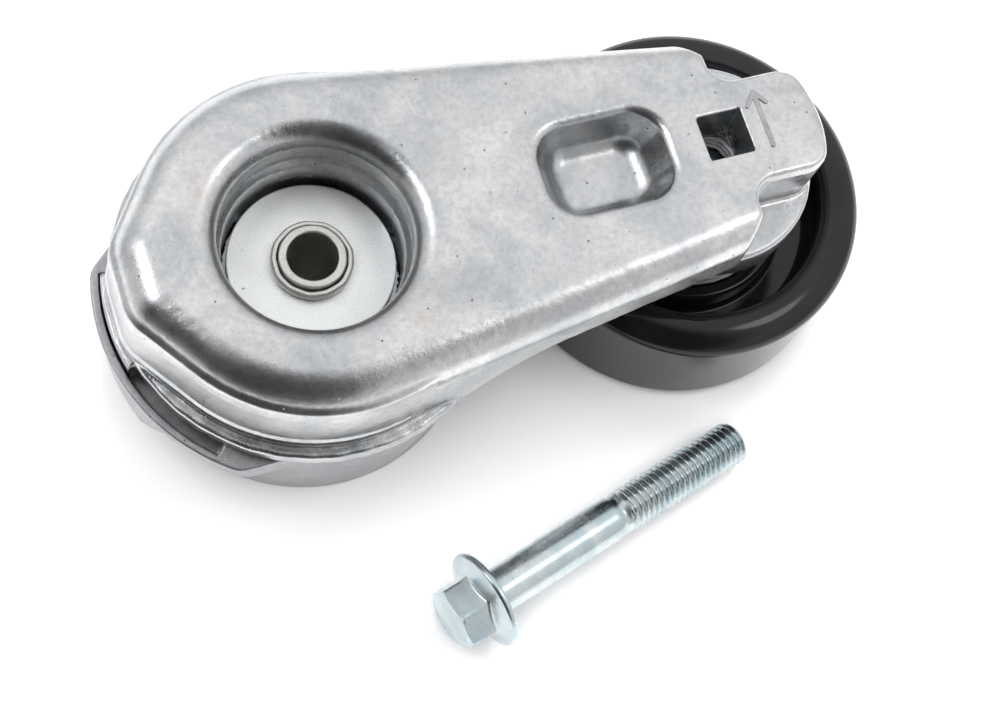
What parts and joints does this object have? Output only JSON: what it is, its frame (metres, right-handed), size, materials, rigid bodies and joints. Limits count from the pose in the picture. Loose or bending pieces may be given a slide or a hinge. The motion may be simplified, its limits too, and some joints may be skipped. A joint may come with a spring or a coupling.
{
  "type": "belt tensioner",
  "caption": "Automatic belt tensioner: a spring-loaded cast arm on a cup-shaped base carries a smooth back-side idler pulley on a ball bearing, shown with its loose mounting bolt.",
  "frame": {"origin": "centre of the whole part's box in plan, on the plane of the base's rear mounting face, with the loose bolt included in the box", "axes": "+X from the arm's pivot to the pulley at rest, +Y the way the arm's arrow points, +Z out of the engine towards the front of the arm"},
  "size_m": [0.172, 0.1242, 0.057],
  "materials": {
    "arm_cast": "bright tumbled die casting, fine scratches and small pits",
    "base_cast": "as-cast, slightly duller than the arm",
    "bare_steel": "turned, oily",
    "ball_steel": "polished bearing steel",
    "zinc_plate": "matte zinc plating with fine speckle",
    "blue_zinc": "bright bluish zinc plating",
    "black_gloss": "smooth glossy black",
    "dark_nylon": "filled nylon, satin",
    "bush_bronze": "plain bronze bush",
    "spring_steel": "dark phosphated round wire",
    "seal_rubber": "black moulded rubber"
  },
  "bodies": {
    "base": {"base_housing": "base_cast", "pivot_tube": "bare_steel", "retaining_collar": "bare_steel", "front_plate": "zinc_plate", "thrust_washer": "dark_nylon", "spring_seat": "dark_nylon", "torsion_spring": "spring_steel", "damping_shoe": "dark_nylon"},
    "arm": {"tensioner_arm": "arm_cast", "pivot_bushing": "bush_bronze", "pulley_bolt": "blue_zinc", "bearing_inner_ring": "bare_steel", "spacer_sleeve": "bare_steel", "front_dust_shield": "zinc_plate", "rear_dust_shield": "zinc_plate"},
    "pulley": {"pulley_shell": "black_gloss", "bearing_outer_ring": "bare_steel", "bearing_seal_front": "seal_rubber", "bearing_seal_rear": "seal_rubber"},
    "ball_cage": {"bearing_cage": "dark_nylon", "bearing_ball_1": "ball_steel", "bearing_ball_2": "ball_steel", "bearing_ball_3": "ball_steel", "bearing_ball_4": "ball_steel", "bearing_ball_5": "ball_steel", "bearing_ball_6": "ball_steel", "bearing_ball_7": "ball_steel", "bearing_ball_8": "ball_steel"},
    "bolt": {"mounting_bolt": "blue_zinc"}
  },
  "joints": [
    {"name": "arm_pivot", "type": "hinge", "parent": "base", "child": "arm", "pos_m": [-0.04122, 0.0209, 0.0285], "axis": [0, 0, 1], "range_deg": [0, 32], "stiffness_Nm_per_rad": 25, "springref_deg": -5.73},
    {"name": "pulley_spin", "type": "hinge", "parent": "arm", "child": "pulley", "pos_m": [0.04702, 0.0209, 0.01575], "axis": [0, 0, 1], "continuous": true},
    {"name": "cage_spin", "type": "hinge", "parent": "arm", "child": "ball_cage", "pos_m": [0.04702, 0.0209, 0.01575], "axis": [0, 0, 1], "continuous": true},
    {"name": "bolt_lift", "type": "slide", "parent": "base", "child": "bolt", "axis": [0, 0, 1], "range_m": [0, 0.1]}
  ],
  "couplings": [
    {"joint": "cage_spin", "follows": "pulley_spin", "ratio": 0.6184}
  ]
}
